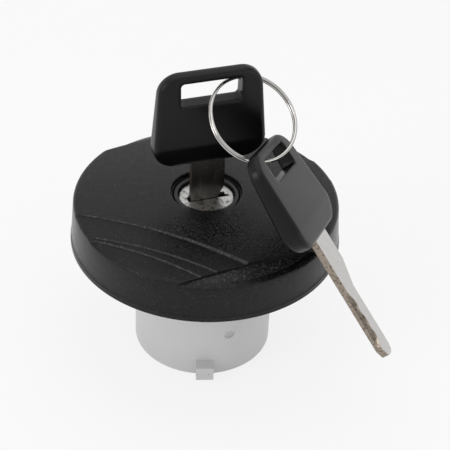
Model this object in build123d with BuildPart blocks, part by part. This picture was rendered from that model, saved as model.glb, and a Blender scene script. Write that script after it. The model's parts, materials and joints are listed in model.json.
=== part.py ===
"""Locking fuel filler cap with its key, split ring and spare key.

Frame: the origin is the centre of the neck's bottom edge, +Z runs up the cap's axis through
the lock, and the two bayonet lugs lie on -Y and +Y. Lengths are in millimetres.
"""

import os
from math import atan2, cos, degrees, pi, radians, sin, sqrt, tan

from build123d import *

os.makedirs("parts", exist_ok=True)

# ---- neck ----
neck_diameter = 40.9
neck_wall = 2.3
neck_reach = 37.3  # bottom edge of the neck to the bottom edge of the cover
neck_floor_rise = 3.0
neck_floor_thickness = 2.2
lug_width = 5.1
lug_projection = 3.75
lug_height = 4.6
lug_rise = 1.2
gate_mark_diameter = 3.3
gate_mark_depth = 0.1
gate_mark_height = 15.3
gate_mark_angle = -69.8

# ---- cover ----
cover_diameter = 76.0  # across the upper rim
cover_base_diameter = 78.0
cover_height = 15.4  # bottom edge to the edge of the lock's hole
cover_wall = 2.2
cover_ceiling_depth = 3.8  # top skin over the lock, below the edge of the hole
rim_drop = 2.75  # outer rim below the edge of the lock's hole
rim_round = 1.25
dome_radius = 316.0
cover_turn = 21.4  # how far the relief is turned about the axis
hole_diameter = 20.5
hole_depth = 1.4
hole_edge_round = 0.35
skirt_band_height = 1.5
skirt_band_step = 0.12

# ---- relief of the cover, angles on its rim ----
scoop_start = -125.0
scoop_end = -57.5
scoop_bow = 0.75
scoop_rim_drop = 4.6
scoop_slope = 0.29
scoop_round = 0.8
step_draft = 38.0
step_depth = 1.1  # level at which the steps' lines are drawn, below the edge of the hole

# ---- lock ----
barrel_diameter = 16.3
barrel_sink = 2.2  # zinc face below the edge of the cover's hole
barrel_length = 25.5
housing_wall = 1.35
housing_sink = 1.1
lock_length = 34.6
keyway_width = 11.2
keyway_thickness = 2.4
keyway_depth = 25.1
wafer_count = 6
wafer_pitch = 3.2
wafer_thickness = 1.0
key_angle = 15.5  # how far the keyway is turned about the axis

# ---- locking bolt and drive ring ----
pin_offset = 1.8
pin_diameter = 2.2
bolt_width = 5.0
bolt_thickness = 2.5
notch_count = 12
drive_tooth_depth = 2.1
bolt_reach = 1.55  # how far the bolt enters a notch when the key is turned

# ---- keys ----
head_width = 33.2
head_top_width = 28.8
head_height = 28.6
head_thickness = 5.8  # at its thickest, where the bevel toward the blade begins
head_top_thickness = 3.6
head_base_thickness = 4.2
head_bevel_run = 6.4
head_edge_round = 1.35
head_slot_width = 17.4
head_slot_height = 7.1
head_slot_from_top = 2.3
shank_width = 9.7
blade_thickness = 2.0
blade_length = 38.0
blade_width = 6.05
shoulder_length = 9.6
shoulder_run = 7.4
head_lift = 11.2  # underside of the key's head above the edge of the cover's hole

# ---- split ring and spare key, where they hang ----
ring_diameter = 26.4
ring_section = 1.3
ring_turn_height = 0.8
ring_centre = (11.85, -3.76, 79.52)
ring_normal = (0.3384, -0.4737, 0.8131)
ring_cross_toward = (0.0504, -0.8245, -0.5636)
spare_origin = (29.05, -25.0, 55.74)
spare_across = (0.3544, 0.8990, -0.2573)
spare_facing = (0.7693, -0.1238, 0.6268)

# ---- vent valve ----
valve_port_diameter = 13.0
seal_thickness = 1.0
pressure_disc_diameter = 20.0
pressure_disc_thickness = 1.6
pressure_travel = 2.0
vacuum_travel = 1.0
cage_height = 10.2

# ---- clearances ----
running = 0.3  # moulded parts that turn on each other
barrel_fit = 0.08  # zinc barrel in its housing, on the radius
slide_fit = 0.15
seat_gap = 0.02  # parts that stand face to face

# ---- worked out ----
top_z = neck_reach + cover_height
neck_radius = neck_diameter / 2
neck_bore = neck_radius - neck_wall
gate_mark_sagitta = neck_radius - sqrt(neck_radius**2 - (gate_mark_diameter / 2) ** 2)
cover_radius = cover_diameter / 2
cover_base_radius = cover_base_diameter / 2
hole_radius = hole_diameter / 2
barrel_radius = barrel_diameter / 2
housing_bore = barrel_radius + barrel_fit
housing_radius = housing_bore + housing_wall
barrel_top = top_z - barrel_sink
barrel_base = barrel_top - barrel_length
housing_top = top_z - housing_sink
housing_base = top_z - lock_length - housing_sink
rim_z = top_z - rim_drop
skirt_draft = degrees(atan2(cover_base_radius - cover_radius, rim_z - neck_reach))
dome_apex = top_z + hole_radius**2 / (2 * dome_radius)
ledge_z = rim_z - 3.55  # underside of the cover outside its crown
ceiling_z = top_z - cover_ceiling_depth

# flange, gasket and retainer, from the ledge down
flange_top = ledge_z - 2 * running
flange_thickness = 2.2
flange_base = flange_top - flange_thickness
skirt_bore = cover_radius - cover_wall
pillar_radius = 2.3
pillar_circle = skirt_bore - pillar_radius + 0.2
flange_radius = pillar_circle - pillar_radius - running
retainer_thickness = 2.1
retainer_top = flange_base - running
retainer_base = retainer_top - retainer_thickness
retainer_radius = skirt_bore - running
retainer_bore = flange_radius - 2.2
gasket_bore = neck_radius + seat_gap
gasket_radius = retainer_bore - 0.6
gasket_thickness = 2.6
gasket_base = flange_base - gasket_thickness

# lock internals, from the barrel down
shelf_top = barrel_base - 0.1
shelf_base = shelf_top - 1.7
tail_radius = 4.2
clip_thickness = 0.8
clip_top = shelf_base - 0.08
clip_base = clip_top - clip_thickness
cam_top = clip_base - 0.08
cam_thickness = 1.2
cam_base = cam_top - cam_thickness
tail_end = cam_base + 0.6
bolt_top = cam_base - 0.1
bolt_base = bolt_top - bolt_thickness
housing_floor_top = bolt_base - 0.1
pin_radius = pin_diameter / 2
notch_pitch = 360 / notch_count
drive_ring_bore = neck_bore - drive_tooth_depth
bolt_travel = 2 * pin_offset * sin(radians(45))
bolt_tip_engaged = drive_ring_bore + bolt_reach
bolt_tip = bolt_tip_engaged - bolt_travel
drive_ring_base = bolt_base - 1.0
drive_ring_top = bolt_top + 1.0

# vent valve, from the floor of the neck up
floor_top = neck_floor_rise + neck_floor_thickness
seal_top = floor_top + seal_thickness
disc_top = seal_top + pressure_disc_thickness
cage_top = floor_top + cage_height
cage_plate = 1.8
cage_plate_base = cage_top - cage_plate
vacuum_nut_base = disc_top + 3.7


def axis_point(radius, angle, z=0.0):
    """A point by radius and angle about the axis."""
    return (radius * cos(radians(angle)), radius * sin(radians(angle)), z)


# =====================================================================
# Neck: one white moulding, with its flange, lugs, drive ring and floor
# =====================================================================
with BuildPart() as neck_body:
    with BuildSketch(Plane.XZ):
        with BuildLine():
            Polyline(
                (valve_port_diameter / 2, neck_floor_rise),
                (neck_bore - 1.0, neck_floor_rise),
                (neck_bore, 0),
                (neck_radius - 0.4, 0),
                (neck_radius, 0.4),
                (neck_radius, flange_base),
                (flange_radius, flange_base),
                (flange_radius, flange_top),
                (neck_bore + 0.6, flange_top),
                (neck_bore, flange_top - 0.6),
                (neck_bore, floor_top),
                (valve_port_diameter / 2, floor_top),
                close=True,
            )
        make_face()
    revolve(axis=Axis.Z)
    # wall that holds the foot of the valve cage
    with BuildSketch(Plane.XY.offset(floor_top)):
        Circle(15.0)
        Circle(13.6, mode=Mode.SUBTRACT)
    extrude(amount=2.8)
    # castellated ring that the locking bolt turns
    with BuildSketch(Plane.XY.offset(drive_ring_base)):
        Circle(neck_bore + 0.2)
        Circle(drive_ring_bore, mode=Mode.SUBTRACT)
        with PolarLocations(0, notch_count, start_angle=key_angle):
            with Locations((neck_bore - 3.0, 0)):
                Rectangle(6.0, bolt_width + 2 * running, mode=Mode.SUBTRACT)
    extrude(amount=drive_ring_top - drive_ring_base)
    # bayonet lugs
    with BuildSketch(Plane.XY.offset(lug_rise)):
        with PolarLocations(neck_radius - 0.6 + (lug_projection + 0.6) / 2, 2, start_angle=-90):
            Rectangle(lug_projection + 0.6, lug_width)
    extrude(amount=lug_height)
    lug_edges = neck_body.edges().filter_by(
        lambda e: e.center().Y**2 + e.center().X**2 > (neck_radius + lug_projection - 0.3) ** 2
        and e.center().Z < lug_rise + lug_height + 0.1
    )
    fillet(lug_edges, 0.35)
    # mark left by the moulding gate
    with BuildSketch(Plane(axis_point(neck_radius, gate_mark_angle, gate_mark_height),
                           z_dir=axis_point(1, gate_mark_angle))):
        Circle(gate_mark_diameter / 2)
    extrude(amount=-gate_mark_depth - gate_mark_sagitta, mode=Mode.SUBTRACT)
neck_body.part.label = "neck_body"

# flat rubber ring under the flange, with a raised sealing lip
with BuildPart() as neck_gasket:
    with BuildSketch(Plane.XZ):
        with BuildLine():
            Polyline(
                (gasket_bore, flange_base - seat_gap),
                (gasket_bore, gasket_base + 0.8),
                (gasket_bore + 0.5, gasket_base),
                (gasket_radius - 0.8, gasket_base),
                (gasket_radius, gasket_base + 0.8),
                (gasket_radius, flange_base - seat_gap),
                close=True,
            )
        make_face()
    revolve(axis=Axis.Z)
neck_gasket.part.label = "neck_gasket"

# =====================================================================
# Vent valve in the neck
# =====================================================================
port_radius = valve_port_diameter / 2
disc_radius = pressure_disc_diameter / 2
stem_radius = 1.2
stem_hole = 1.5

with BuildPart() as pressure_seal:
    with BuildSketch(Plane.XY.offset(floor_top + seat_gap)):
        Circle(disc_radius - 0.6)
        Circle(port_radius - 2.2, mode=Mode.SUBTRACT)
    extrude(amount=seal_thickness - 2 * seat_gap)
pressure_seal.part.label = "pressure_seal"

with BuildPart() as pressure_disc:
    with BuildSketch(Plane.XY.offset(seal_top)):
        Circle(disc_radius)
        Circle(stem_hole, mode=Mode.SUBTRACT)
        with PolarLocations(2.9, 4, start_angle=45):
            Circle(0.7, mode=Mode.SUBTRACT)
    extrude(amount=pressure_disc_thickness)
    # rim that centres the spring
    with BuildSketch(Plane.XY.offset(disc_top)):
        Circle(disc_radius - 0.6)
        Circle(disc_radius - 1.6, mode=Mode.SUBTRACT)
    extrude(amount=1.2)
pressure_disc.part.label = "pressure_disc"

with BuildPart() as vacuum_valve:
    with BuildSketch(Plane.XY.offset(seal_top - 1.0)):
        Circle(3.9)
    extrude(amount=1.0 - seat_gap)
    with BuildSketch(Plane.XY.offset(seal_top - 0.5)):
        Circle(stem_radius)
    extrude(amount=vacuum_nut_base + 1.6 - seal_top + 0.5)
    chamfer(vacuum_valve.edges().sort_by(Axis.Z)[-1], 0.3)
vacuum_valve.part.label = "vacuum_valve"

with BuildPart() as vacuum_nut:
    with BuildSketch(Plane.XY.offset(vacuum_nut_base)):
        Circle(3.1)
        Circle(stem_radius + 0.01, mode=Mode.SUBTRACT)
    extrude(amount=0.8)
vacuum_nut.part.label = "vacuum_nut"


def coil_spring(base_z, height, mean_radius, wire_radius, turns):
    """A wire spring standing on base_z, with room for the wire at both ends."""
    with BuildPart(mode=Mode.PRIVATE) as spring:
        with BuildLine() as route:
            Helix(
                pitch=(height - 2 * wire_radius) / turns,
                height=height - 2 * wire_radius,
                radius=mean_radius,
                center=(0, 0, base_z + wire_radius),
            )
        with BuildSketch(Plane(origin=route.line @ 0, z_dir=route.line % 0)):
            RegularPolygon(wire_radius, 5)
        sweep(path=route.line, is_frenet=True)
    return spring.part


pressure_spring = coil_spring(disc_top + seat_gap, cage_plate_base - disc_top - 2 * seat_gap, 6.2, 0.4, 3.0)
pressure_spring.label = "pressure_spring"
vacuum_spring = coil_spring(disc_top + seat_gap, vacuum_nut_base - disc_top - 2 * seat_gap, 2.3, 0.25, 3.0)
vacuum_spring.label = "vacuum_spring"

with BuildPart() as valve_cage:
    with BuildSketch(Plane.XY.offset(floor_top + seat_gap)):
        Circle(13.6 - 0.15)
        Circle(11.4, mode=Mode.SUBTRACT)
    extrude(amount=1.6)
    with BuildSketch(Plane.XY.offset(floor_top + seat_gap)):
        with PolarLocations(12.3, 3, start_angle=30):
            Rectangle(1.7, 6.0)
    extrude(amount=cage_height - seat_gap)
    with BuildSketch(Plane.XY.offset(cage_plate_base)):
        Circle(13.0)
        Circle(4.2, mode=Mode.SUBTRACT)
        with PolarLocations(9.6, 3, start_angle=90):
            SlotOverall(9.0, 3.0, rotation=90, mode=Mode.SUBTRACT)
    extrude(amount=cage_plate)
valve_cage.part.label = "valve_cage"

# =====================================================================
# Cover: a drafted, domed shell whose crown is cut by swept steps and two
# finger scoops, the same again half a turn round
# =====================================================================


def rim_point(angle, beyond=0.0):
    """A point on the cover's rim, in the cover's own plan."""
    return Vector(*axis_point(cover_radius + beyond, angle))


def scoop_point(share):
    """A point on the scoop's inner edge, by its share of the way along."""
    chord = rim_point(scoop_end) - rim_point(scoop_start)
    bow = scoop_bow * (1 - (2 * share - 1) ** 2)
    return rim_point(scoop_start) + chord * share - Vector(0, bow, 0)


crown_top = top_z + 2.0
dome_stations = [1.5 * cover_base_radius * step / 8 for step in range(9)]


def dome_fall(radius):
    """How far the dome falls from its top at a radius."""
    return dome_radius - sqrt(dome_radius**2 - radius**2)


def crown_floor(drop, rise_per_mm, toward, edge_round):
    """The cover's outer form, its dome lowered by drop and leaning toward an angle."""
    lean = Vector(*axis_point(rise_per_mm * dome_radius, toward))
    with BuildPart(mode=Mode.PRIVATE) as form:
        with Locations((0, 0, neck_reach)):
            Cone(cover_base_radius, cover_cone_top, cover_cone_height, align=(Align.CENTER, Align.CENTER, Align.MIN))
        with BuildPart(mode=Mode.PRIVATE) as above:
            with BuildSketch(Plane.XZ):
                with BuildLine():
                    Line((0, crown_top + 5), (0, dome_apex - drop))
                    skin = Spline(
                        [(x, dome_apex - drop - dome_fall(x)) for x in dome_stations],
                        tangents=[(1, 0), (1, -dome_stations[-1] / (dome_radius - dome_fall(dome_stations[-1])))],
                    )
                    Polyline(skin @ 1, (dome_stations[-1], crown_top + 5), (0, crown_top + 5))
                make_face()
            revolve(axis=Axis.Z)
        add(above.part.moved(Location((lean.X, lean.Y, 0))), mode=Mode.SUBTRACT)
        fillet(form.edges().sort_by(SortBy.LENGTH)[-2:].sort_by(Axis.Z)[-1], edge_round)
    return form.part


cover_cone_height = cover_height + 3.0
cover_cone_top = cover_base_radius - cover_cone_height * (cover_base_radius - cover_radius) / (rim_z - neck_reach)

# Each step is a line from the rim to the scoop's edge. What lies outside it is lower.
step_lines = {
    # name: rim angle, share along the scoop, drop at the axis, extra drop per mm
    "long": (169.6, 0.49, 0.50, 0.0092),
    "fork": (-175.4, 0.30, 0.85, 0.0092),
    "short": (-174.6, 0.20, 1.22, 0.0100),
}
step_bow = 0.7
lean_direction = -47.0  # along the steps, from the rim to the scoop


def step_cutter(rim_angle, share, drop, lean):
    """What is taken off the crown outside one step."""
    start = rim_point(rim_angle)
    end = scoop_point(share)
    along = (end - start).normalized()
    side = Vector(-along.Y, along.X, 0)
    # the wall leans inward as it rises, so its foot is drawn further out
    lean_out = side * (top_z - step_depth - ledge_z) * tan(radians(step_draft))
    start -= lean_out
    end -= lean_out
    middle = (start + end) * 0.5 + side * step_bow
    before = start - along * 8.0
    beyond = end + Vector(0, -14.0, 0)
    with BuildPart(mode=Mode.PRIVATE) as cutter:
        with BuildSketch(Plane.XY.offset(ledge_z)) as outside:
            with BuildLine():
                Line(before, start)
                ThreePointArc(start, middle, end)
                Polyline(end, beyond, (-1.6 * cover_radius, beyond.Y), (-1.6 * cover_radius, before.Y), before)
            make_face()
        extrude(amount=crown_top - ledge_z, taper=-step_draft)
        add(crown_floor(drop, lean, lean_direction + 180, rim_round), mode=Mode.SUBTRACT)
    return cutter.part


# The scoop's floor is a shallow cone that falls outward to a level rim.
with BuildPart() as scoop_cutter:
    with BuildSketch(Plane.XY.offset(ledge_z)):
        with BuildLine():
            ThreePointArc(scoop_point(0), scoop_point(0.5), scoop_point(1))
            Polyline(
                scoop_point(1),
                rim_point(scoop_end, 12.0),
                (0, -1.9 * cover_radius),
                rim_point(scoop_start, 12.0),
                scoop_point(0),
            )
        make_face()
    extrude(amount=crown_top - ledge_z)
    with BuildPart(mode=Mode.PRIVATE) as scoop_floor:
        with BuildSketch(Plane.XZ):
            scoop_rim_z = top_z - scoop_rim_drop
            wall_slope = (cover_base_radius - cover_cone_top) / cover_cone_height
            scoop_rim_radius = cover_base_radius - (scoop_rim_z - neck_reach) * wall_slope
            with BuildLine():
                Polyline(
                    (0, neck_reach),
                    (cover_base_radius, neck_reach),
                    (scoop_rim_radius, scoop_rim_z),
                    (0, scoop_rim_z + scoop_slope * scoop_rim_radius),
                    close=True,
                )
            make_face()
        revolve(axis=Axis.Z)
        fillet(scoop_floor.edges().filter_by(GeomType.CIRCLE).sort_by(Axis.Z)[-1], scoop_round)
    add(scoop_floor.part, mode=Mode.SUBTRACT)

step_cutters = [step_cutter(*values) for values in step_lines.values()]

boss_bore = housing_radius + slide_fit
boss_radius = boss_bore + 2.6
lock_pillar_circle = boss_radius + 1.3
lock_pillar_radius = 2.6
boss_base = ceiling_z - 6.0
screw_radius = 1.25
crown_radius = pillar_circle - pillar_radius - 1.6

with BuildPart() as cover:
    add(crown_floor(0, 0, 0, rim_round))
    for turn in (0, 180):
        for cutter in step_cutters + [scoop_cutter.part]:
            add(cutter.rotate(Axis.Z, turn), mode=Mode.SUBTRACT)
    # hollow underside
    with BuildSketch(Plane.XZ):
        lower_bore = cover_base_radius - cover_wall
        with BuildLine():
            Polyline(
                (0, neck_reach - 1),
                (lower_bore, neck_reach - 1),
                (skirt_bore, ledge_z),
                (crown_radius, ledge_z),
                (crown_radius - 1.2, ceiling_z),
                (0, ceiling_z),
                close=True,
            )
        make_face()
    revolve(axis=Axis.Z, mode=Mode.SUBTRACT)
    # boss round the lock, and the pillars that take the screws
    with BuildSketch(Plane.XY.offset(boss_base)):
        Circle(boss_radius)
        with PolarLocations(lock_pillar_circle, 2):
            Circle(lock_pillar_radius)
    extrude(amount=ceiling_z - boss_base + 0.3)
    with BuildSketch(Plane.XY.offset(retainer_top + seat_gap)):
        with PolarLocations(pillar_circle, 3, start_angle=90):
            Circle(pillar_radius)
    extrude(amount=ledge_z - retainer_top + 0.3)
    # stiffening ribs under the crown, clear of the neck's flange
    with BuildSketch(Plane.XY.offset(flange_top + running)):
        with PolarLocations((boss_radius + crown_radius - 0.5) / 2, 8, start_angle=22.5):
            Rectangle(crown_radius - boss_radius - 0.1, 1.3)
    extrude(amount=ceiling_z - flange_top - running + 0.3)
    # hole for the lock
    with BuildSketch(Plane.XY.offset(boss_base - 1)):
        Circle(boss_bore)
    extrude(amount=top_z - boss_base + 3, mode=Mode.SUBTRACT)
    with BuildSketch(Plane.XY.offset(top_z - hole_depth)):
        Circle(hole_radius)
    extrude(amount=hole_depth + 2, mode=Mode.SUBTRACT)
    with BuildSketch(Plane.XZ):
        with BuildLine():
            CenterArc((hole_radius + hole_edge_round, top_z - hole_edge_round - 0.02), hole_edge_round, 90, 90)
            Polyline(
                (hole_radius + hole_edge_round, top_z - 0.02),
                (hole_radius + hole_edge_round, top_z + 1),
                (hole_radius - 1, top_z + 1),
                (hole_radius - 1, top_z - hole_edge_round - 0.02),
                (hole_radius, top_z - hole_edge_round - 0.02),
            )
        make_face()
    revolve(axis=Axis.Z, mode=Mode.SUBTRACT)
    # screw holes
    with BuildSketch(Plane.XY.offset(boss_base)):
        with PolarLocations(lock_pillar_circle, 2):
            Circle(screw_radius + seat_gap)
    extrude(amount=6.0, mode=Mode.SUBTRACT)
    with BuildSketch(Plane.XY.offset(retainer_top)):
        with PolarLocations(pillar_circle, 3, start_angle=90):
            Circle(screw_radius + seat_gap)
    extrude(amount=3.6, mode=Mode.SUBTRACT)
    # raised band round the foot of the skirt
    with BuildSketch(Plane.XZ):
        band_top_radius = cover_base_radius - skirt_band_height * wall_slope
        with BuildLine():
            Polyline(
                (cover_base_radius - 1.0, neck_reach),
                (cover_base_radius + skirt_band_step, neck_reach),
                (band_top_radius + skirt_band_step, neck_reach + skirt_band_height - skirt_band_step),
                (band_top_radius, neck_reach + skirt_band_height),
                (band_top_radius - 1.0, neck_reach + skirt_band_height),
                close=True,
            )
        make_face()
    revolve(axis=Axis.Z)
cover_part = cover.part.rotate(Axis.Z, cover_turn)
cover_part.label = "cover"

# ring under the flange that keeps the cover on the neck
with BuildPart() as retainer_ring:
    with BuildSketch(Plane.XY.offset(retainer_base)):
        Circle(retainer_radius)
        Circle(retainer_bore, mode=Mode.SUBTRACT)
        with PolarLocations(pillar_circle, 3, start_angle=90 + cover_turn):
            Circle(screw_radius + 0.15, mode=Mode.SUBTRACT)
    extrude(amount=retainer_thickness)
    chamfer(retainer_ring.edges().filter_by(GeomType.CIRCLE).sort_by(SortBy.RADIUS)[-2:], 0.3)
retainer_ring.part.label = "retainer_ring"


def pan_screw(head_top, length, shank, head_radius, head_height):
    """A screw that points up, its head's bearing face at head_top."""
    with BuildPart(mode=Mode.PRIVATE) as screw:
        with BuildSketch(Plane.XY.offset(head_top - head_height)):
            Circle(head_radius)
        extrude(amount=head_height)
        chamfer(screw.edges().sort_by(Axis.Z)[0], 0.35)
        with BuildSketch(Plane.XY.offset(head_top)):
            Circle(shank)
        extrude(amount=length)
        chamfer(screw.edges().sort_by(Axis.Z)[-1], 0.3)
        with BuildSketch(Plane.XY.offset(head_top - head_height)):
            Rectangle(0.55, 2 * head_radius * 0.62)
            Rectangle(2 * head_radius * 0.62, 0.55)
        extrude(amount=head_height * 0.5, mode=Mode.SUBTRACT)
    return screw.part


retainer_screw = pan_screw(retainer_base - seat_gap, retainer_thickness + 3.0, screw_radius, 2.2, 0.9)
with BuildPart() as retainer_screws:
    for index in range(3):
        angle = 90 + cover_turn + 120 * index
        add(retainer_screw.moved(Location(axis_point(pillar_circle, angle))))
retainer_screws.part.label = "retainer_screws"

# =====================================================================
# Lock: housing in the cover, barrel in the housing, bolt below the barrel
# =====================================================================
flange_hole_radius = screw_radius + 0.15
housing_flange_top = boss_base - seat_gap
housing_flange_thickness = 2.2
housing_flange_radius = min(lock_pillar_circle + lock_pillar_radius, neck_bore - running)

with BuildPart() as lock_housing:
    with BuildSketch(Plane.XY.offset(housing_base)):
        Circle(housing_radius)
    extrude(amount=housing_top - housing_base)
    fillet(lock_housing.edges().sort_by(Axis.Z)[-1], 0.6)
    with BuildSketch(Plane.XY.offset(housing_flange_top - housing_flange_thickness)):
        Circle(housing_radius + 1.2)
        SlotOverall(2 * housing_flange_radius, 2 * lock_pillar_radius, rotation=cover_turn)
    extrude(amount=housing_flange_thickness)
    with BuildSketch(Plane.XY.offset(shelf_top)):
        Circle(housing_bore)
    extrude(amount=housing_top - shelf_top + 1, mode=Mode.SUBTRACT)
    with BuildSketch(Plane.XY.offset(shelf_base - 1)):
        Circle(tail_radius + barrel_fit)
    extrude(amount=shelf_top - shelf_base + 2, mode=Mode.SUBTRACT)
    with BuildSketch(Plane.XY.offset(housing_floor_top)):
        Circle(housing_bore - 0.7)
    extrude(amount=shelf_base - housing_floor_top, mode=Mode.SUBTRACT)
    # guide slot for the bolt, open on one side
    with BuildSketch(Plane.XY.offset(housing_floor_top)):
        with Locations(axis_point(housing_radius / 2 - 2, key_angle)):
            Rectangle(housing_radius + 8, bolt_width + 2 * slide_fit, rotation=key_angle)
    extrude(amount=bolt_top + 0.1 - housing_floor_top, mode=Mode.SUBTRACT)
    with BuildSketch(Plane.XY.offset(housing_flange_top - housing_flange_thickness - 1)):
        with PolarLocations(lock_pillar_circle, 2, start_angle=cover_turn):
            Circle(flange_hole_radius)
    extrude(amount=housing_flange_thickness + 2, mode=Mode.SUBTRACT)
lock_housing.part.label = "lock_housing"

lock_screw = pan_screw(housing_flange_top - housing_flange_thickness - seat_gap,
                       housing_flange_thickness + 5.0, screw_radius, 2.3, 1.5)
with BuildPart() as lock_screws:
    for index in range(2):
        angle = cover_turn + 180 * index
        add(lock_screw.moved(Location(axis_point(lock_pillar_circle, angle))))
lock_screws.part.label = "lock_screws"

key_plane = Plane((0, 0, 0), x_dir=axis_point(1, key_angle), z_dir=(0, 0, 1))
wafer_half = 7.3
wafer_width = 6.0
wafer_tops = [barrel_top - 3.4 - wafer_pitch * index for index in range(wafer_count)]

with BuildPart() as lock_barrel:
    with BuildSketch(Plane.XY.offset(barrel_base)):
        Circle(barrel_radius)
    extrude(amount=barrel_length)
    chamfer(lock_barrel.edges().sort_by(Axis.Z)[-1], 0.45)
    with BuildSketch(Plane.XY.offset(tail_end)):
        Circle(tail_radius)
    extrude(amount=barrel_base - tail_end)
    # groove for the clip, and two flats that turn the cam
    with BuildSketch(Plane.XY.offset(clip_base - 0.05)):
        Circle(tail_radius + 1)
        Circle(tail_radius - 1.0, mode=Mode.SUBTRACT)
    extrude(amount=clip_thickness + 0.1, mode=Mode.SUBTRACT)
    with BuildSketch(key_plane.offset(tail_end)):
        for side in (-1, 1):
            with Locations((0, side * (tail_radius - 0.4))):
                Rectangle(3 * tail_radius, 2.4)
    extrude(amount=cam_top - tail_end, mode=Mode.SUBTRACT)
    # keyway, with the ward notches at its two ends
    with BuildSketch(key_plane.offset(barrel_top - keyway_depth)):
        Rectangle(keyway_width, keyway_thickness)
    extrude(amount=keyway_depth + 1, mode=Mode.SUBTRACT)
    with BuildSketch(key_plane.offset(barrel_top - 2.4)):
        with Locations((keyway_width / 2 + 0.3, -0.7)):
            Rectangle(1.0, 0.9)
        with Locations((-keyway_width / 2 + 1.2, keyway_thickness / 2 + 0.3)):
            Rectangle(1.1, 0.9)
    extrude(amount=3.4, mode=Mode.SUBTRACT)
    # slots for the wafers
    for wafer_top in wafer_tops:
        with BuildSketch(key_plane.offset(wafer_top - wafer_thickness - 0.05)):
            Rectangle(2.2 * barrel_radius, wafer_width + 0.1)
        extrude(amount=wafer_thickness + 0.1, mode=Mode.SUBTRACT)
lock_barrel.part.label = "lock_barrel"

with BuildPart() as lock_wafers:
    for wafer_top in wafer_tops:
        with BuildSketch(key_plane.offset(wafer_top - wafer_thickness)):
            Rectangle(2 * wafer_half, wafer_width)
            Rectangle(keyway_width + 0.2, keyway_thickness + 0.2, mode=Mode.SUBTRACT)
            with Locations((-wafer_half + 1.0, wafer_width / 2)):
                Rectangle(1.1, 1.6, mode=Mode.SUBTRACT)
        extrude(amount=wafer_thickness)
lock_wafers.part.label = "lock_wafers"

# each wafer's spring lies in the notch beside its ear
with BuildPart() as wafer_springs:
    for wafer_top in wafer_tops:
        with BuildSketch(Plane(key_plane.from_local_coords((-wafer_half + 0.5, 2.58, wafer_top - wafer_thickness / 2)),
                               x_dir=(0, 0, 1), z_dir=key_plane.x_dir)):
            RegularPolygon(0.36, 8)
            RegularPolygon(0.18, 8, mode=Mode.SUBTRACT)
        extrude(amount=1.0)
wafer_springs.part.label = "wafer_springs"

with BuildPart() as barrel_clip:
    with BuildSketch(Plane.XY.offset(clip_base)):
        Circle(tail_radius + 1.6)
        Circle(tail_radius - 0.95, mode=Mode.SUBTRACT)
        with Locations((0, -tail_radius)):
            Rectangle(4.6, 2 * tail_radius, mode=Mode.SUBTRACT)
    extrude(amount=clip_thickness)
barrel_clip.part.label = "barrel_clip"

pin_angle = key_angle + 135  # locked: the turn takes it to key_angle + 45
with BuildPart() as barrel_cam:
    with BuildSketch(Plane.XY.offset(cam_base)):
        Circle(tail_radius + 1.9)
    extrude(amount=cam_thickness - 0.03)
    # pocket for the flats on the barrel's tail
    with BuildSketch(key_plane.offset(tail_end - seat_gap)):
        Circle(tail_radius + seat_gap)
        for side in (-1, 1):
            with Locations((0, side * (tail_radius - 0.4 + seat_gap))):
                Rectangle(3 * tail_radius, 2.4, mode=Mode.SUBTRACT)
    extrude(amount=cam_thickness, mode=Mode.SUBTRACT)
    with BuildSketch(Plane.XY.offset(bolt_base + 0.3)):
        with Locations(axis_point(pin_offset, pin_angle)):
            Circle(pin_radius)
    extrude(amount=cam_base - bolt_base - 0.3)
barrel_cam.part.label = "barrel_cam"

# The bolt slides along key_angle. Its cross slot takes the cam's pin.
bolt_tail = 6.0
with BuildPart() as lock_bolt:
    bolt_plane = key_plane.offset(bolt_base)
    with BuildSketch(bolt_plane):
        with Locations(((bolt_tip - bolt_tail) / 2, 0)):
            Rectangle(bolt_tip + bolt_tail, bolt_width)
    extrude(amount=bolt_thickness)
    fillet(lock_bolt.edges().filter_by(Axis.Z), 0.5)
    with BuildSketch(bolt_plane):
        with Locations((-pin_offset * sin(radians(45)), pin_offset * 0.85)):
            Rectangle(pin_diameter + 2 * slide_fit, pin_diameter + 2.2)
    extrude(amount=bolt_thickness, mode=Mode.SUBTRACT)
lock_bolt.part.label = "lock_bolt"

# =====================================================================
# Keys: a flat blade moulded into a rounded head with a slot for the ring
# =====================================================================
slot_centre = head_height - head_slot_from_top - head_slot_height / 2
tang_length = 9.0
tang_width = 7.0
cut_depths = (0.7, 1.5, 0.9, 1.7, 1.1, 1.6, 0.8)


# Both keys are made flat, X across the key, Y toward the head's top and Z out of its face.
near_edge = -shank_width / 2
far_edge = shank_width / 2
slim_edge = near_edge + blade_width
cut_start = -shoulder_length - shoulder_run
cut_pitch = (blade_length - 4.0 + cut_start) / len(cut_depths)

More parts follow.
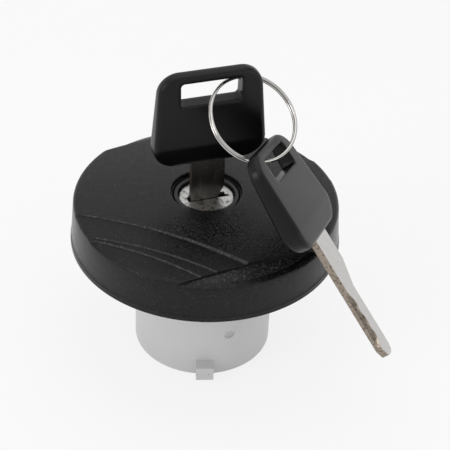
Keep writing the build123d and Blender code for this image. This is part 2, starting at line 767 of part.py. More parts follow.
with BuildPart() as blade_form:
    with BuildSketch(Plane.XY.offset(-blade_thickness / 2)):
        with BuildLine():
            Polyline(
                (near_edge, 1.5),
                (near_edge, -blade_length + 3.0),
                (near_edge + 1.6, -blade_length + 0.3),
                (near_edge + 2.4, -blade_length),
                (slim_edge - 1.8, -blade_length),
                (slim_edge - 0.5, -blade_length + 0.7),
                (slim_edge, -blade_length + 2.2),
                (slim_edge, -shoulder_length - shoulder_run),
                (far_edge, -shoulder_length),
                (far_edge, 1.5),
                (tang_width / 2, 1.5),
                (tang_width / 2, tang_length),
                (-tang_width / 2, tang_length),
                (-tang_width / 2, 1.5),
                close=True,
            )
        make_face()
        with Locations((0, tang_length - 3.5)):
            Circle(1.6, mode=Mode.SUBTRACT)
    extrude(amount=blade_thickness)
    # wave cut into the front half of the near edge
    with BuildSketch(Plane.XY):
        with BuildLine():
            wave = Spline(
                [(near_edge - 0.3, cut_start + 1.0)]
                + [(near_edge + cut, cut_start - cut_pitch * (index + 0.5)) for index, cut in enumerate(cut_depths)]
                + [(near_edge - 0.3, -blade_length + 3.6)]
            )
            Polyline(wave @ 1, (near_edge - 1.5, -blade_length + 3.6), (near_edge - 1.5, cut_start + 1.0), wave @ 0)
        make_face()
    extrude(amount=blade_thickness, mode=Mode.SUBTRACT)
    # ward groove along the back
    with BuildSketch(Plane.XY.offset(-blade_thickness / 2)):
        with Locations((near_edge + 0.58 * blade_width, -blade_length / 2 - 4.0)):
            SlotOverall(blade_length - 8.0, 1.3, rotation=90)
    extrude(amount=0.5, mode=Mode.SUBTRACT)

with BuildPart() as head_form:
    with BuildSketch(Plane.XY.offset(-head_thickness / 2)) as outline:
        with BuildLine():
            Polyline(
                (-head_width / 2, 0),
                (head_width / 2, 0),
                (head_top_width / 2, head_height),
                (-head_top_width / 2, head_height),
                close=True,
            )
        make_face()
        fillet(outline.vertices(), 6.2)
    extrude(amount=head_thickness)
    # the head is a wedge, thickest near the blade and bevelled below that
    with BuildSketch(Plane.YZ):
        for side in (-1, 1):
            thick_face = side * head_thickness / 2
            with BuildLine():
                Polyline(
                    (-1, side * head_base_thickness / 2),
                    (0, side * head_base_thickness / 2),
                    (head_bevel_run, thick_face),
                    (head_height, side * head_top_thickness / 2),
                    (head_height + 1, side * head_top_thickness / 2),
                    (head_height + 1, thick_face + side),
                    (-1, thick_face + side),
                    close=True,
                )
            make_face()
    extrude(amount=head_width, both=True, mode=Mode.SUBTRACT)
    fillet(head_form.edges().filter_by(Axis.Z, reverse=True), head_edge_round)
    with BuildSketch(Plane.XY.offset(-head_thickness / 2)):
        with Locations((0, slot_centre)):
            RectangleRounded(head_slot_width, head_slot_height, 1.1)
    extrude(amount=head_thickness, mode=Mode.SUBTRACT)
    add(blade_form.part, mode=Mode.SUBTRACT)

key_in_lock = Plane((0, 0, top_z + head_lift), x_dir=axis_point(1, key_angle), z_dir=axis_point(1, key_angle - 90))
spare_plane = Plane(spare_origin, x_dir=spare_across, z_dir=spare_facing)
blade_part = blade_form.part.moved(key_in_lock.location)
head_part = head_form.part.moved(key_in_lock.location)
spare_blade_part = blade_form.part.moved(spare_plane.location)
spare_head_part = head_form.part.moved(spare_plane.location)
blade_part.label = "key_blade"
head_part.label = "key_head"
spare_blade_part.label = "spare_key_blade"
spare_head_part.label = "spare_key_head"

# split ring: two flat turns of wire that cross over between the ends
ring_radius = (ring_diameter - ring_section) / 2
ring_pitch = ring_turn_height + 0.06
ring_cross_half = 15.0
ring_plane = Plane(ring_centre, x_dir=ring_cross_toward, z_dir=ring_normal)


def ring_point(angle):
    """A point on the wire's centre line."""
    share = min(max((angle - 360 + ring_cross_half) / (2 * ring_cross_half), 0), 1)
    rise = -0.5 * ring_pitch * cos(pi * share)
    return ring_plane.from_local_coords(axis_point(ring_radius, angle, rise))


def ring_tangent(angle):
    """The way the wire runs at an angle."""
    return ring_plane.from_local_coords(axis_point(1, angle + 90)) - ring_plane.origin


def ring_turn(start, rise):
    """One flat turn of wire, short of the crossing by a small gap."""
    radial = ring_plane.from_local_coords(axis_point(1, start)) - ring_plane.origin
    with BuildPart(mode=Mode.PRIVATE) as turn:
        section = Plane(ring_plane.from_local_coords((0, 0, rise)), x_dir=radial, z_dir=-ring_tangent(start))
        with BuildSketch(section):
            with Locations((ring_radius, 0)):
                Rectangle(ring_section, ring_turn_height)
        revolve(axis=Axis(ring_plane.origin, ring_plane.z_dir), revolution_arc=360 - 2 * ring_cross_half - 3)
    return turn.part


with BuildPart() as split_ring:
    with BuildLine() as crossing:
        Spline(
            [ring_point(360 - ring_cross_half + ring_cross_half * step / 4) for step in range(9)],
            tangents=[ring_tangent(-ring_cross_half), ring_tangent(ring_cross_half)],
        )
    with BuildSketch(Plane(origin=crossing.line @ 0, x_dir=ring_plane.z_dir, z_dir=crossing.line % 0)):
        Rectangle(ring_turn_height, ring_section)
    sweep(path=crossing.line)
    add(ring_turn(ring_cross_half + 3, -ring_pitch / 2))
    add(ring_turn(ring_cross_half, ring_pitch / 2))
split_ring.part.label = "split_ring"

pieces = [
    neck_body.part, neck_gasket.part, pressure_seal.part, pressure_disc.part, vacuum_valve.part,
    vacuum_nut.part, pressure_spring, vacuum_spring, valve_cage.part, cover_part, retainer_ring.part,
    retainer_screws.part, lock_housing.part, lock_screws.part, lock_barrel.part, lock_wafers.part, wafer_springs.part,
    barrel_clip.part, barrel_cam.part, lock_bolt.part, blade_part, head_part, split_ring.part,
    spare_blade_part, spare_head_part,
]
for piece in pieces:
    export_step(piece, f"parts/{piece.label}.step")
    print(piece.label, round(piece.volume, 1))
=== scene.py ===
import bpy, bmesh, json
from math import radians, sin, cos
from mathutils import Vector, Matrix


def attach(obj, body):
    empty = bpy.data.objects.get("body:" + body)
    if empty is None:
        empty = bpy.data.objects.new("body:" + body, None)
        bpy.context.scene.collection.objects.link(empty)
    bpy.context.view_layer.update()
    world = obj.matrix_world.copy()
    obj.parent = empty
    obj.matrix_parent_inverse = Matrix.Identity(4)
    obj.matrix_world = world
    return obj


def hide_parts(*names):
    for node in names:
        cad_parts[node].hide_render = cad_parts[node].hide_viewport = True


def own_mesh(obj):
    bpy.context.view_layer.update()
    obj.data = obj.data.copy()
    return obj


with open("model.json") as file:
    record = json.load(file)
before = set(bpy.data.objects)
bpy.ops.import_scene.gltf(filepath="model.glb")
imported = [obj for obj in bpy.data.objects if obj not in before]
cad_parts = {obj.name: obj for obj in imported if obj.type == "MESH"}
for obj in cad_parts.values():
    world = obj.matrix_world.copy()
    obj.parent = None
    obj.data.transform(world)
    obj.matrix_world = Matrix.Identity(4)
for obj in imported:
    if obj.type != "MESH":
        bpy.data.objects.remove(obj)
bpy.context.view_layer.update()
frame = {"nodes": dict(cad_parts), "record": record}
nodes = frame["nodes"]
print("frame loaded,", len(nodes), "nodes")

scene = bpy.context.scene
scene.view_settings.view_transform = "Standard"


def newGroup(name, inputs, outputs):
    # inputs and outputs: name=kind of socket, with the values set where the group is placed
    group = bpy.data.node_groups.new(name, "ShaderNodeTree")
    for label, kind in inputs.items():
        group.interface.new_socket(name=label, in_out="INPUT", socket_type="NodeSocket" + kind)
    for label, kind in outputs.items():
        group.interface.new_socket(name=label, in_out="OUTPUT", socket_type="NodeSocket" + kind)
    start = group.nodes.new("NodeGroupInput")
    end = group.nodes.new("NodeGroupOutput")
    return group, start, end


def addNode(tree, kind, **settings):
    node = tree.nodes.new(kind)
    for key, value in settings.items():
        setattr(node, key, value)
    return node


def setInput(tree, socket, value):
    # value is a number or another node's output
    if isinstance(value, (int, float)):
        socket.default_value = value
    else:
        tree.links.new(value, socket)


def mathNode(tree, operation, first, second=None, third=None, clamp=False):
    node = addNode(tree, "ShaderNodeMath", operation=operation, use_clamp=clamp)
    for index, value in enumerate((first, second, third)):
        if value is not None:
            setInput(tree, node.inputs[index], value)
    return node.outputs[0]


def noiseNode(tree, vector, scale, detail):
    node = addNode(tree, "ShaderNodeTexNoise")
    node.inputs["Detail"].default_value = detail
    tree.links.new(vector, node.inputs["Vector"])
    setInput(tree, node.inputs["Scale"], scale)
    return node


def rampNode(tree, factor, low, high):
    # a smooth step from 0 at low to 1 at high
    node = addNode(tree, "ShaderNodeMapRange", interpolation_type="SMOOTHSTEP")
    tree.links.new(factor, node.inputs["Value"])
    setInput(tree, node.inputs["From Min"], low)
    setInput(tree, node.inputs["From Max"], high)
    return node.outputs["Result"]


grainBuild = dict(raisedFrom=0.46, raisedTo=0.72, speckDetail=1.0, fineTimes=2.2, fineDetail=2.0,
                  unevenness=0.7, patchScale=60.0, patchDetail=2.0)


def makeLeatherGrain(setup):
    # moulded-in grain: Height for a bump, flat between raised specks, and Patches for slow changes of tone
    group, start, end = newGroup("leatherGrain", dict(Vector="Vector", Size="Float", Unevenness="Float"),
                                 dict(Height="Float", Patches="Float"))
    vector = start.outputs["Vector"]
    scale = mathNode(group, "DIVIDE", 1.0, start.outputs["Size"])
    specks = noiseNode(group, vector, scale, setup["speckDetail"])
    raised = rampNode(group, specks.outputs["Fac"], setup["raisedFrom"], setup["raisedTo"])
    fineScale = mathNode(group, "MULTIPLY", scale, setup["fineTimes"])
    fine = noiseNode(group, vector, fineScale, setup["fineDetail"])
    height = mathNode(group, "MULTIPLY_ADD", fine.outputs["Fac"], start.outputs["Unevenness"], raised)
    group.links.new(height, end.inputs["Height"])
    broad = noiseNode(group, vector, setup["patchScale"], setup["patchDetail"])
    group.links.new(broad.outputs["Fac"], end.inputs["Patches"])
    return group


glintAndWearBuild = dict(detail=6.0, roughness=0.7, noiseLimit=0.72, sharpness=6.0)


def makeGlintAndWearSpecks(setup):
    # specks, more of them with a larger Amount: Mask; on the cover they carry painted glints, on the other
    # plastics rubbed specks, and on metal spots and pits
    group, start, end = newGroup("glintAndWearSpecks", dict(Vector="Vector", Scale="Float", Amount="Float"),
                                 dict(Mask="Float"))
    fine = noiseNode(group, start.outputs["Vector"], start.outputs["Scale"], setup["detail"])
    fine.inputs["Roughness"].default_value = setup["roughness"]
    limit = mathNode(group, "SUBTRACT", setup["noiseLimit"], start.outputs["Amount"])
    over = mathNode(group, "SUBTRACT", fine.outputs["Fac"], limit)
    group.links.new(mathNode(group, "MULTIPLY", over, setup["sharpness"], clamp=True), end.inputs["Mask"])
    return group


spotBuild = dict(outside=1.3, inside=0.6)


def makeRoundSpot(setup):
    # a soft round mark at Centre, such as the trace of a moulding gate: Mask
    group, start, end = newGroup("roundSpot", dict(Vector="Vector", Centre="Vector", Radius="Float"),
                                 dict(Mask="Float"))
    away = addNode(group, "ShaderNodeVectorMath", operation="DISTANCE")
    group.links.new(start.outputs["Vector"], away.inputs[0])
    group.links.new(start.outputs["Centre"], away.inputs[1])
    share = mathNode(group, "DIVIDE", away.outputs["Value"], start.outputs["Radius"])
    group.links.new(rampNode(group, share, setup["outside"], setup["inside"]), end.inputs["Mask"])
    return group


facingBuild = dict(wall=0.45, face=0.75)


def makeFacing(setup):
    # 1 where a surface faces along Direction or against it, 0 on the walls between: Mask
    group, start, end = newGroup("facing", dict(Normal="Vector", Direction="Vector"), dict(Mask="Float"))
    turned = addNode(group, "ShaderNodeVectorMath", operation="DOT_PRODUCT")
    group.links.new(start.outputs["Normal"], turned.inputs[0])
    group.links.new(start.outputs["Direction"], turned.inputs[1])
    share = mathNode(group, "ABSOLUTE", turned.outputs["Value"])
    group.links.new(rampNode(group, share, setup["wall"], setup["face"]), end.inputs["Mask"])
    return group


def makeSlopes():
    # 1 where the normal's Z is from Upright to Steep, down to 0 at Flat, within Reach of the axis: Mask
    group, start, end = newGroup("slopes", dict(Vector="Vector", Normal="Vector", Steep="Float", Flat="Float",
                                                Upright="Float", Reach="Float"), dict(Mask="Float"))
    lean = addNode(group, "ShaderNodeSeparateXYZ")
    group.links.new(start.outputs["Normal"], lean.inputs[0])
    place = addNode(group, "ShaderNodeSeparateXYZ")
    group.links.new(start.outputs["Vector"], place.inputs[0])
    acrossX = mathNode(group, "POWER", place.outputs["X"], 2.0)
    acrossY = mathNode(group, "POWER", place.outputs["Y"], 2.0)
    span = mathNode(group, "SQRT", mathNode(group, "ADD", acrossX, acrossY))
    inside = mathNode(group, "LESS_THAN", span, start.outputs["Reach"])
    level = rampNode(group, lean.outputs["Z"], start.outputs["Flat"], start.outputs["Steep"])
    raised = mathNode(group, "GREATER_THAN", lean.outputs["Z"], start.outputs["Upright"])
    mask = mathNode(group, "MULTIPLY", mathNode(group, "MULTIPLY", level, raised), inside)
    group.links.new(mask, end.inputs["Mask"])
    return group


leatherGrain = makeLeatherGrain(grainBuild)
glintAndWearSpecks = makeGlintAndWearSpecks(glintAndWearBuild)
roundSpot = makeRoundSpot(spotBuild)
facing = makeFacing(facingBuild)
slopes = makeSlopes()
print("shader groups made")

edgeSamples = 6


def startMaterial(name):
    material = bpy.data.materials.new(name)
    material.use_nodes = True
    tree = material.node_tree
    shader = tree.nodes["Principled BSDF"]
    place = addNode(tree, "ShaderNodeTexCoord")
    return material, tree, shader, place.outputs["Object"]


def mixColour(tree, factor, first, second):
    node = addNode(tree, "ShaderNodeMix", data_type="RGBA")
    tree.links.new(factor, node.inputs["Factor"])
    for label, value in (("A", first), ("B", second)):
        socket = [item for item in node.inputs if item.name == label and item.type == "RGBA"][0]
        if isinstance(value, (tuple, list)):
            socket.default_value = (*value, 1.0)
        else:
            tree.links.new(value, socket)
    return [item for item in node.outputs if item.type == "RGBA"][0]


def placeGroup(tree, group, vector, **values):
    node = addNode(tree, "ShaderNodeGroup", node_tree=group)
    tree.links.new(vector, node.inputs["Vector"])
    for key, value in values.items():
        node.inputs[key].default_value = value
    return node


def addBump(tree, shader, height, distance, strength, edge):
    # edge is the radius that sharp corners look rounded to
    soft = addNode(tree, "ShaderNodeBevel", samples=edgeSamples)
    soft.inputs["Radius"].default_value = edge
    bump = addNode(tree, "ShaderNodeBump")
    bump.inputs["Strength"].default_value = strength
    bump.inputs["Distance"].default_value = distance
    tree.links.new(height, bump.inputs["Height"])
    tree.links.new(soft.outputs["Normal"], bump.inputs["Normal"])
    tree.links.new(bump.outputs["Normal"], shader.inputs["Normal"])


def addSpots(tree, place, colour, height, look):
    # darkens and dents a surface at each of the look's marks
    for mark in look.get("marks", ()):
        spot = placeGroup(tree, roundSpot, place, Centre=mark["centre"], Radius=mark["radius"])
        share = mathNode(tree, "MULTIPLY", spot.outputs["Mask"], mark["shade"])
        colour = mixColour(tree, share, colour, mark["colour"])
        height = mathNode(tree, "MULTIPLY_ADD", spot.outputs["Mask"], -mark["dent"], height)
    return colour, height


def addPaintedLitWalls(tree, place, colour, walls):
    # painted light: the relief's sloping walls, which face the lamps, are painted paler, brightest at specks
    # of painted glint
    mask = placeGroup(tree, slopes, place, Steep=walls["steep"], Flat=walls["flat"], Upright=walls["upright"],
                      Reach=walls["reach"])
    tree.links.new(place.node.outputs["Normal"], mask.inputs["Normal"])
    specks = placeGroup(tree, glintAndWearSpecks, place, Scale=walls["glintScale"], Amount=walls["glintAmount"])
    plain = walls["plainShare"]
    share = mathNode(tree, "MULTIPLY_ADD", specks.outputs["Mask"], 1 - plain, plain)
    return mixColour(tree, mathNode(tree, "MULTIPLY", share, mask.outputs["Mask"]), colour, walls["colour"])


def grainPlastic(name, look):
    material, tree, shader, place = startMaterial(name)
    grain = placeGroup(tree, leatherGrain, place, Size=look["grainSize"], Unevenness=grainBuild["unevenness"])
    # painted highlight: on the cover the rubAndGlint colour paints pale glints of light into the grain
    speckNode = placeGroup(tree, glintAndWearSpecks, place, Scale=look["glintRubScale"], Amount=look["glintRubAmount"])
    tone = mixColour(tree, grain.outputs["Patches"], look["dark"], look["light"])
    colour = mixColour(tree, speckNode.outputs["Mask"], tone, look["rubAndGlint"])
    colour, height = addSpots(tree, place, colour, grain.outputs["Height"], look)
    # painted light: the cover's sloping walls get a paler colour where light falls on them
    if "walls" in look:
        colour = addPaintedLitWalls(tree, place, colour, look["walls"])
    tree.links.new(colour, shader.inputs["Base Color"])
    spread = mathNode(tree, "MULTIPLY_ADD", grain.outputs["Patches"], look["glossSpread"], look["roughness"])
    tree.links.new(spread, shader.inputs["Roughness"])
    shader.inputs["Specular IOR Level"].default_value = look["specular"]
    addBump(tree, shader, height, look["grainDepth"], look["grainStrength"], look["edge"])
    return material


def addCutWalls(tree, place, colour, rough, height, cut):
    # the milled walls of a key's cuts: browner, duller and pitted
    blade = addNode(tree, "ShaderNodeGroup", node_tree=facing)
    blade.inputs["Direction"].default_value = cut["faceNormal"]
    tree.links.new(place.node.outputs["Normal"], blade.inputs["Normal"])
    pits = placeGroup(tree, glintAndWearSpecks, place, Scale=cut["pitScale"], Amount=cut["pitAmount"])
    walls = mixColour(tree, pits.outputs["Mask"], cut["wall"], cut["pit"])
    colour = mixColour(tree, blade.outputs["Mask"], walls, colour)
    side = mathNode(tree, "SUBTRACT", 1.0, blade.outputs["Mask"])
    rough = mathNode(tree, "MULTIPLY_ADD", side, cut["dullness"], rough)
    depth = mathNode(tree, "MULTIPLY", side, pits.outputs["Mask"])
    height = mathNode(tree, "MULTIPLY_ADD", depth, -cut["pitDepth"], height)
    return colour, rough, height


brushBuild = dict(detail=4.0, strength=0.6)


def satinMetal(name, look):
    material, tree, shader, place = startMaterial(name)
    shader.inputs["Metallic"].default_value = 1.0
    stretch = addNode(tree, "ShaderNodeMapping")
    stretch.inputs["Scale"].default_value = look["stretch"]
    tree.links.new(place, stretch.inputs["Vector"])
    brushed = noiseNode(tree, stretch.outputs["Vector"], look["brushScale"], brushBuild["detail"])
    speckNode = placeGroup(tree, glintAndWearSpecks, place, Scale=look["spotScale"], Amount=look["spotAmount"])
    tone = mixColour(tree, brushed.outputs["Fac"], look["dark"], look["light"])
    colour = mixColour(tree, speckNode.outputs["Mask"], tone, look["spot"])
    height = brushed.outputs["Fac"]
    rough = mathNode(tree, "MULTIPLY_ADD", brushed.outputs["Fac"], look["roughSpread"], look["roughness"])
    if "cut" in look:
        colour, rough, height = addCutWalls(tree, place, colour, rough, height, look["cut"])
    tree.links.new(colour, shader.inputs["Base Color"])
    tree.links.new(rough, shader.inputs["Roughness"])
    addBump(tree, shader, height, look["brushDepth"], brushBuild["strength"], look["edge"])
    return material


mouldBuild = dict(cloudScale=45.0, cloudDetail=3.0, roughSpread=0.12, glowDepth=0.002,
                  glowReach=(1.0, 0.95, 0.9), fineScale=2600.0, fineDetail=2.0, fineDepth=0.00002,
                  fineStrength=0.5)


def mouldedWhite(name, look):
    material, tree, shader, place = startMaterial(name)
    cloudy = noiseNode(tree, place, mouldBuild["cloudScale"], mouldBuild["cloudDetail"])
    tone = mixColour(tree, cloudy.outputs["Fac"], look["shade"], look["bright"])
    shader.inputs["Subsurface Weight"].default_value = look["glow"]
    shader.inputs["Subsurface Scale"].default_value = mouldBuild["glowDepth"]
    shader.inputs["Subsurface Radius"].default_value = mouldBuild["glowReach"]
    fine = noiseNode(tree, place, mouldBuild["fineScale"], mouldBuild["fineDetail"])
    tone, height = addSpots(tree, place, tone, fine.outputs["Fac"], look)
    tree.links.new(tone, shader.inputs["Base Color"])
    spread = mouldBuild["roughSpread"]
    rough = mathNode(tree, "MULTIPLY_ADD", cloudy.outputs["Fac"], spread, look["roughness"])
    tree.links.new(rough, shader.inputs["Roughness"])
    addBump(tree, shader, height, mouldBuild["fineDepth"], mouldBuild["fineStrength"], look["edge"])
    return material


# cover: rubAndGlint is a painted glint colour, and the walls colour is painted light on the lit relief walls
coverLook = dict(dark=(0.0018, 0.0019, 0.0021), light=(0.0030, 0.0031, 0.0034), rubAndGlint=(0.040, 0.040, 0.042),
                 grainSize=0.00040, grainDepth=0.00007, grainStrength=1.0, roughness=0.15, glossSpread=0.04,
                 specular=0.24, glintRubScale=1500.0, glintRubAmount=0.150, edge=0.00018,
                 walls=dict(colour=(0.070, 0.071, 0.073), steep=0.955, flat=0.986, upright=0.25, reach=0.0362,
                            glintScale=1500.0, glintAmount=0.22, plainShare=0.1))
headLook = dict(dark=(0.0020, 0.0020, 0.0022), light=(0.0032, 0.0032, 0.0034), rubAndGlint=(0.008, 0.008, 0.0085),
                grainSize=0.00030, grainDepth=0.000012, grainStrength=0.5, roughness=0.26, glossSpread=0.08,
                specular=0.24, glintRubScale=1100.0, glintRubAmount=0.05, edge=0.0014,
                marks=(dict(centre=(0.01069, -0.02652, 0.07870), radius=0.00055, shade=0.6,
                            colour=(0.001, 0.001, 0.001), dent=9.0),))
innerLook = dict(dark=(0.0024, 0.0024, 0.0026), light=(0.0040, 0.0040, 0.0043), rubAndGlint=(0.009, 0.009, 0.0095),
                 grainSize=0.00030, grainDepth=0.000008, grainStrength=0.3, roughness=0.20, glossSpread=0.06,
                 specular=0.40, glintRubScale=1300.0, glintRubAmount=0.05, edge=0.0003)
rubberLook = dict(dark=(0.0070, 0.0070, 0.0070), light=(0.0120, 0.0120, 0.0120), rubAndGlint=(0.03, 0.03, 0.029),
                  grainSize=0.00025, grainDepth=0.00002, grainStrength=0.5, roughness=0.62, glossSpread=0.15,
                  specular=0.30, glintRubScale=900.0, glintRubAmount=0.12, edge=0.0003)
zincLook = dict(dark=(0.34, 0.335, 0.325), light=(0.76, 0.75, 0.735), spot=(0.06, 0.055, 0.05),
                stretch=(1, 1, 0.4), brushScale=620.0, brushDepth=0.00016, spotScale=650.0, spotAmount=0.22,
                roughness=0.14, roughSpread=0.32, edge=0.0002)
bladeSteel = dict(dark=(0.47, 0.46, 0.445), light=(0.60, 0.59, 0.575), spot=(0.30, 0.26, 0.22),
                  stretch=(1, 1, 0.25), brushScale=700.0, brushDepth=0.000008, spotScale=900.0,
                  spotAmount=0.05, roughness=0.05, roughSpread=0.10, edge=0.00015)
cutWalls = dict(wall=(0.34, 0.29, 0.24), pit=(0.03, 0.024, 0.019), pitScale=1500.0, pitAmount=0.22,
                dullness=0.25, pitDepth=2.0)
steelLook = dict(dark=(0.47, 0.46, 0.445), light=(0.62, 0.61, 0.595), spot=(0.30, 0.26, 0.22),
                 stretch=(1, 1, 0.25), brushScale=700.0, brushDepth=0.000010, spotScale=900.0,
                 spotAmount=0.05, roughness=0.18, roughSpread=0.16, edge=0.00015)
ringLook = dict(dark=(0.42, 0.405, 0.39), light=(0.60, 0.585, 0.565), spot=(0.12, 0.10, 0.085),
                stretch=(1, 1, 1), brushScale=500.0, brushDepth=0.000008, spotScale=1200.0, spotAmount=0.10,
                roughness=0.05, roughSpread=0.08, edge=0.0001)
brassLook = dict(dark=(0.52, 0.36, 0.14), light=(0.72, 0.53, 0.24), spot=(0.25, 0.16, 0.07),
                 stretch=(1, 1, 0.5), brushScale=800.0, brushDepth=0.00001, spotScale=700.0, spotAmount=0.08,
                 roughness=0.28, roughSpread=0.2, edge=0.0001)
whiteLook = dict(shade=(0.66, 0.66, 0.665), bright=(0.72, 0.72, 0.725), glow=0.10, roughness=0.36,
                 edge=0.0004,
                 marks=(dict(centre=(0.00708, -0.01901, 0.0146), radius=0.0015, shade=0.5,
                             colour=(0.42, 0.42, 0.42), dent=1.0),
                        dict(centre=(-0.00235, -0.02417, 0.00355), radius=0.00022, shade=0.8,
                             colour=(0.2, 0.19, 0.18), dent=3.0),
                        dict(centre=(0.00111, -0.0242, 0.00356), radius=0.00022, shade=0.8,
                             colour=(0.2, 0.19, 0.18), dent=3.0)))
valveLook = dict(shade=(0.66, 0.65, 0.61), bright=(0.74, 0.73, 0.69), glow=0.08, roughness=0.45, edge=0.0002)

materials = {
    "cover_black": grainPlastic("coverBlack", coverLook),
    "inner_black": grainPlastic("innerBlack", innerLook),
    "key_black": grainPlastic("keyHeadBlack", headLook),
    "seal_rubber": grainPlastic("sealRubber", rubberLook),
    "neck_white": mouldedWhite("neckWhite", whiteLook),
    "valve_white": mouldedWhite("valveWhite", valveLook),
    "lock_zinc": satinMetal("lockZinc", zincLook),
    "plated_steel": satinMetal("platedSteel", dict(steelLook, roughness=0.22)),
    "spring_steel": satinMetal("springSteel", steelLook),
    "ring_steel": satinMetal("ringSteel", ringLook),
    "brass": satinMetal("waferBrass", brassLook),
}
# painted reflection: key 1's blade and cut walls get darker steel colours that stand in for the black parts
# it reflects
darkReflectionBlade = dict(bladeSteel, dark=(0.16, 0.15, 0.14), light=(0.30, 0.285, 0.265), roughness=0.20,
                 roughSpread=0.12, spotAmount=0.12,
                 cut=dict(cutWalls, wall=(0.12, 0.10, 0.085), faceNormal=(0.267, -0.964, 0.0)))
spareBlade = dict(bladeSteel, cut=dict(cutWalls, faceNormal=(0.7693, -0.1238, 0.6268)))
# each blade's milling faces its own way, so each has its own material in place of its slot's
ownMaterials = {
    "key_blade": satinMetal("keySteelPaintedDark", darkReflectionBlade),
    "spare_key_blade": satinMetal("spareKeySteel", spareBlade),
}
slotOf = {item["node"]: item["material_slot"] for item in frame["record"]["subparts"]}
for name, item in nodes.items():
    item.data.materials.clear()
    item.data.materials.append(ownMaterials.get(name) or materials[slotOf[name]])
print("materials placed")

weldReach = 0.000002
sharpAngle = 28
for name, item in nodes.items():
    weld = item.modifiers.new("weld", "WELD")
    weld.merge_threshold = weldReach
    for face in item.data.polygons:
        face.use_smooth = True
    smooth = item.modifiers.new("edges", "EDGE_SPLIT")
    smooth.split_angle = radians(sharpAngle)
print("doubles merged and edges split")

ringBuild = dict(centre=(0.01185, -0.00376, 0.07952), normal=(0.3384, -0.4737, 0.8131),
                 crossToward=(0.0504, -0.8245, -0.5636), diameter=0.0261, wireWidth=0.00088,
                 wireHeight=0.00076, wireGap=0.00020, crossHalf=15, endGap=3, corners=20, turnSteps=150,
                 crossSteps=16)


def buildRing(setup):
    # one wire of oval section, wound twice and stepped over where its turns cross
    radius = (setup["diameter"] - setup["wireWidth"]) / 2
    pitch = setup["wireHeight"] + setup["wireGap"]
    turn = 360 - 2 * setup["crossHalf"] - setup["endGap"]
    build = bmesh.new()
    bmesh.ops.create_circle(build, cap_ends=False, segments=setup["corners"], radius=0.5)
    bmesh.ops.scale(build, verts=build.verts, vec=(setup["wireWidth"], setup["wireHeight"], 1))
    upright = Matrix.Rotation(radians(90), 3, "X")
    bmesh.ops.rotate(build, verts=build.verts, cent=(0, 0, 0), matrix=upright)
    bmesh.ops.translate(build, verts=build.verts, vec=(radius, 0, -pitch / 2))
    begin = Matrix.Rotation(radians(setup["crossHalf"] + setup["endGap"]), 3, "Z")
    bmesh.ops.rotate(build, verts=build.verts, cent=(0, 0, 0), matrix=begin)
    section = build.verts[:] + build.edges[:]
    turnPart = (turn, 0, setup["turnSteps"])
    crossPart = (2 * setup["crossHalf"], pitch, setup["crossSteps"])
    for sweep, rise, steps in (turnPart, crossPart, turnPart):
        made = bmesh.ops.spin(build, geom=section, cent=(0, 0, 0), axis=(0, 0, 1), dvec=(0, 0, rise / steps),
                              angle=radians(sweep), steps=steps, use_merge=False, use_normal_flip=False,
                              use_duplicate=False)
        section = made["geom_last"]
    bmesh.ops.holes_fill(build, edges=[edge for edge in build.edges if edge.is_boundary], sides=0)
    bmesh.ops.recalc_face_normals(build, faces=build.faces)
    up = Vector(setup["normal"]).normalized()
    across = Vector(setup["crossToward"]).normalized()
    facingUp = Matrix((across, up.cross(across), up)).transposed().to_4x4()
    bmesh.ops.transform(build, verts=build.verts, matrix=Matrix.Translation(setup["centre"]) @ facingUp)
    mesh = bpy.data.meshes.new("roundWireRing")
    build.to_mesh(mesh)
    build.free()
    for face in mesh.polygons:
        face.use_smooth = True
    ring = bpy.data.objects.new("roundWireRing", mesh)
    scene.collection.objects.link(ring)
    mesh.materials.append(materials["ring_steel"])
    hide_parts("split_ring")
    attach(ring, "ring")
    print("split ring wound,", len(mesh.polygons), "faces")


buildRing(ringBuild)

springs = {
    "pressureCoil": dict(node="pressure_spring", body="neck", joint="pressure_lift", fixedEnd=0.0136,
                         travel=0.002),
    "vacuumCoil": dict(node="vacuum_spring", body="pressure_valve", joint="vacuum_drop", fixedEnd=0.0078,
                       travel=0.001),
}


def buildSpring(name, setup):
    # the CAD's coil again, as a piece of its own that moves with its body
    build = bmesh.new()
    build.from_mesh(nodes[setup["node"]].data)
    bmesh.ops.remove_doubles(build, verts=build.verts, dist=weldReach)
    mesh = bpy.data.meshes.new(name)
    build.to_mesh(mesh)
    build.free()
    for face in mesh.polygons:
        face.use_smooth = True
    coil = bpy.data.objects.new(name, mesh)
    scene.collection.objects.link(coil)
    mesh.materials.append(materials["spring_steel"])
    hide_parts(setup["node"])
    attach(coil, setup["body"])
    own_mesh(coil)


for name, setup in springs.items():
    buildSpring(name, setup)

stageLook = dict(size=1.6, colour=(0.90, 0.90, 0.90), roughness=0.9, specular=0.1, drop=0.0002, paleShare=0.8,
                 worldLight=0.5, seenLight=1.0)


def seenShare(tree):
    # 1 for what the camera sees, straight or in metal or glass
    path = addNode(tree, "ShaderNodeLightPath")
    seen = mathNode(tree, "MAXIMUM", path.outputs["Is Camera Ray"], path.outputs["Is Glossy Ray"])
    return mathNode(tree, "MAXIMUM", seen, path.outputs["Is Transmission Ray"])


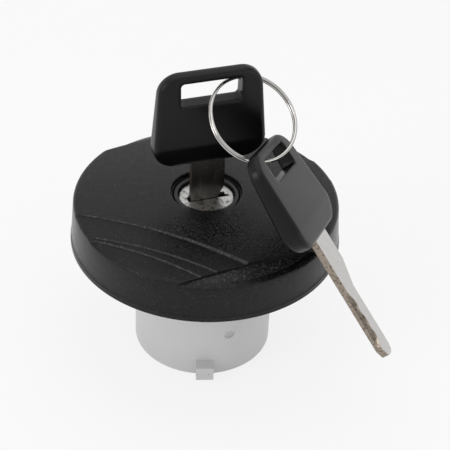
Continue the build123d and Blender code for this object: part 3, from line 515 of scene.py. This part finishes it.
def buildFloor():
    mesh = bpy.data.meshes.new("paleFloor")
    build = bmesh.new()
    bmesh.ops.create_grid(build, x_segments=1, y_segments=1, size=stageLook["size"])
    bmesh.ops.translate(build, verts=build.verts, vec=(0, 0, -stageLook["drop"]))
    build.to_mesh(mesh)
    build.free()
    floor = bpy.data.objects.new("paleFloor", mesh)
    scene.collection.objects.link(floor)
    material = bpy.data.materials.new("paleFloor")
    material.use_nodes = True
    tree = material.node_tree
    shader = tree.nodes["Principled BSDF"]
    shader.inputs["Base Color"].default_value = (*stageLook["colour"], 1)
    shader.inputs["Roughness"].default_value = stageLook["roughness"]
    shader.inputs["Specular IOR Level"].default_value = stageLook["specular"]
    pale = addNode(tree, "ShaderNodeEmission")
    pale.inputs["Strength"].default_value = stageLook["seenLight"]
    blend = addNode(tree, "ShaderNodeMixShader")
    share = mathNode(tree, "MULTIPLY", seenShare(tree), stageLook["paleShare"])
    tree.links.new(share, blend.inputs[0])
    tree.links.new(shader.outputs["BSDF"], blend.inputs[1])
    tree.links.new(pale.outputs["Emission"], blend.inputs[2])
    tree.links.new(blend.outputs["Shader"], tree.nodes["Material Output"].inputs["Surface"])
    mesh.materials.append(material)


buildFloor()


def buildWorld():
    # even white light, seen as plain white
    world = bpy.data.worlds.new("studio")
    scene.world = world
    world.use_nodes = True
    tree = world.node_tree
    light = tree.nodes["Background"]
    light.inputs["Color"].default_value = (1, 1, 1, 1)
    light.inputs["Strength"].default_value = stageLook["worldLight"]
    plain = addNode(tree, "ShaderNodeBackground")
    plain.inputs["Strength"].default_value = stageLook["seenLight"]
    pick = addNode(tree, "ShaderNodeMixShader")
    tree.links.new(seenShare(tree), pick.inputs[0])
    tree.links.new(light.outputs[0], pick.inputs[1])
    tree.links.new(plain.outputs[0], pick.inputs[2])
    tree.links.new(pick.outputs[0], tree.nodes["World Output"].inputs["Surface"])


buildWorld()


def addLamp(name, place, target, size, power):
    data = bpy.data.lights.new(name, "AREA")
    data.shape = "RECTANGLE"
    data.size, data.size_y = size
    data.energy = power
    lamp = bpy.data.objects.new(name, data)
    scene.collection.objects.link(lamp)
    lamp.location = place
    lamp.rotation_euler = (Vector(target) - Vector(place)).to_track_quat("-Z", "Y").to_euler()


lamps = {
    "topSoft": dict(place=(0.0, 0.05, 0.75), target=(0, 0, 0.04), size=(0.8, 0.8), power=1.8),
    "leftSoft": dict(place=(-0.6, -0.35, 0.40), target=(0, 0, 0.04), size=(0.28, 0.34), power=1.4),
    "rightSoft": dict(place=(0.6, -0.45, 0.22), target=(0, 0, 0.04), size=(0.5, 0.4), power=0.6),
    "rimSoft": dict(place=(0.53, 0.46, 0.14), target=(0.02, -0.02, 0.06), size=(0.45, 0.25), power=0.12),
}
for name, lamp in lamps.items():
    addLamp(name, **lamp)

cameraSetup = dict(elevation=35.99, turn=-3.0, roll=1.905, distance=0.380, top=(0, 0, 0.0527), frameWidth=450,
                   focal=1331.86, target=(206.58, 190.39), sensor=36, nearest=0.01)


def placeCamera(setup):
    # aims at the centre of the lock's hole, then turns until it falls on its own spot of the frame
    up = radians(setup["elevation"])
    turn = Matrix.Rotation(radians(setup["turn"]), 3, "Z")
    forward = turn @ Vector((0, cos(up), -sin(up)))
    right = turn @ Vector((1, 0, 0))
    above = right.cross(forward)
    lean = radians(setup["roll"])
    right, above = right * cos(lean) + above * sin(lean), above * cos(lean) - right * sin(lean)
    across, down = setup["target"]
    middle = setup["frameWidth"] / 2
    wanted = Vector(((across - middle) / setup["focal"], (middle - down) / setup["focal"], 1.0)).normalized()
    swing = Vector((0, 0, 1)).rotation_difference(wanted).to_matrix()
    rows = swing @ Matrix((right, above, forward))
    camera = bpy.data.cameras.new("camera")
    camera.sensor_width = setup["sensor"]
    camera.lens = setup["focal"] / setup["frameWidth"] * setup["sensor"]
    camera.clip_start = setup["nearest"]
    item = bpy.data.objects.new("camera", camera)
    scene.collection.objects.link(item)
    cameraTurn = Matrix((rows[0], rows[1], -rows[2])).transposed().to_4x4()
    item.matrix_world = Matrix.Translation(Vector(setup["top"]) - forward * setup["distance"]) @ cameraTurn
    scene.camera = item


placeCamera(cameraSetup)
print("stage, lights and camera set")
